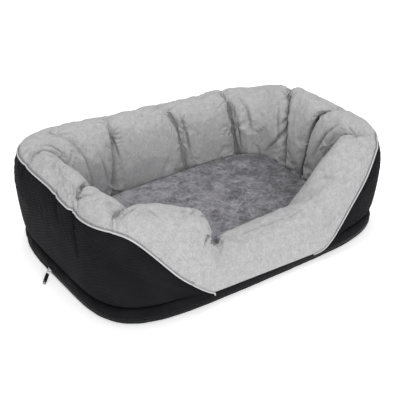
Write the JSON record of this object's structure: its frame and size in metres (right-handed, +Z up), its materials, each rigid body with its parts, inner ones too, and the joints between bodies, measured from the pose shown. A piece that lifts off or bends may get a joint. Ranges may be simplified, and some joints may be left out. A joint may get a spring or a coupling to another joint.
{
  "type": "pet cushion bed",
  "caption": "Rectangular pet bed with a padded bolster wall that dips at the front entry, a zipped base and a loose plush cushion in the well.",
  "frame": {"origin": "middle of the underside, on the floor", "axes": "+X along the long side, -Y out of the low front entry, +Z up"},
  "size_m": [0.801, 0.5293, 0.25],
  "materials": {
    "suede": "matte",
    "ribbed_oxford": "satin",
    "base_fabric": "matte",
    "lining_fabric": "matte",
    "plush": "matte",
    "piping": "matte",
    "fibre": "matte",
    "zip_tape": "matte",
    "zip_coil": "satin",
    "zip_metal": "polished",
    "pull_grip": "satin"
  },
  "bodies": {
    "root": {"base_bottom_panel": "base_fabric", "base_band": "base_fabric", "base_top_panel": "lining_fabric", "base_filling": "fibre", "zip_tape_lower": "zip_tape", "zip_tape_upper": "zip_tape", "zip_chain_lower": "zip_coil", "zip_chain_upper": "zip_coil", "zip_end_stops": "zip_metal", "wall_lining": "lining_fabric", "outer_panel_left": "ribbed_oxford", "outer_panel_back": "ribbed_oxford", "outer_panel_right": "ribbed_oxford", "suede_panel_left": "suede", "suede_panel_back": "suede", "suede_panel_right": "suede", "suede_panel_front": "suede", "piping_cord": "fibre", "piping_sleeve": "piping", "wall_fill_01": "fibre", "wall_fill_02": "fibre", "wall_fill_03": "fibre", "wall_fill_04": "fibre", "wall_fill_05": "fibre", "wall_fill_06": "fibre", "wall_fill_07": "fibre", "wall_fill_08": "fibre", "wall_fill_09": "fibre", "wall_fill_10": "fibre", "wall_fill_11": "fibre", "wall_fill_12": "fibre", "baffle_01": "lining_fabric", "baffle_02": "lining_fabric", "baffle_03": "lining_fabric", "baffle_04": "lining_fabric", "baffle_05": "lining_fabric", "baffle_06": "lining_fabric", "baffle_07": "lining_fabric", "baffle_08": "lining_fabric", "baffle_09": "lining_fabric", "baffle_10": "lining_fabric", "baffle_11": "lining_fabric", "baffle_12": "lining_fabric"},
    "cushion": {"cushion_plush_top": "plush", "cushion_underside": "base_fabric", "cushion_filling": "fibre"},
    "slider": {"zip_slider": "zip_metal", "zip_bail": "zip_metal"},
    "pull": {"zip_pull": "zip_metal", "zip_pull_grip": "pull_grip"}
  },
  "joints": [
    {"name": "cushion_lift", "type": "slide", "parent": "root", "child": "cushion", "axis": [0, 0, 1], "range_m": [0, 0.25]},
    {"name": "zip_slide", "type": "slide", "parent": "root", "child": "slider", "axis": [0, -1, 0], "range_m": [0, 0.12]},
    {"name": "pull_swing", "type": "hinge", "parent": "slider", "child": "pull", "pos_m": [-0.38555, 0.028, 0.014], "axis": [0, 0, 1], "range_deg": [-95, 25]}
  ]
}
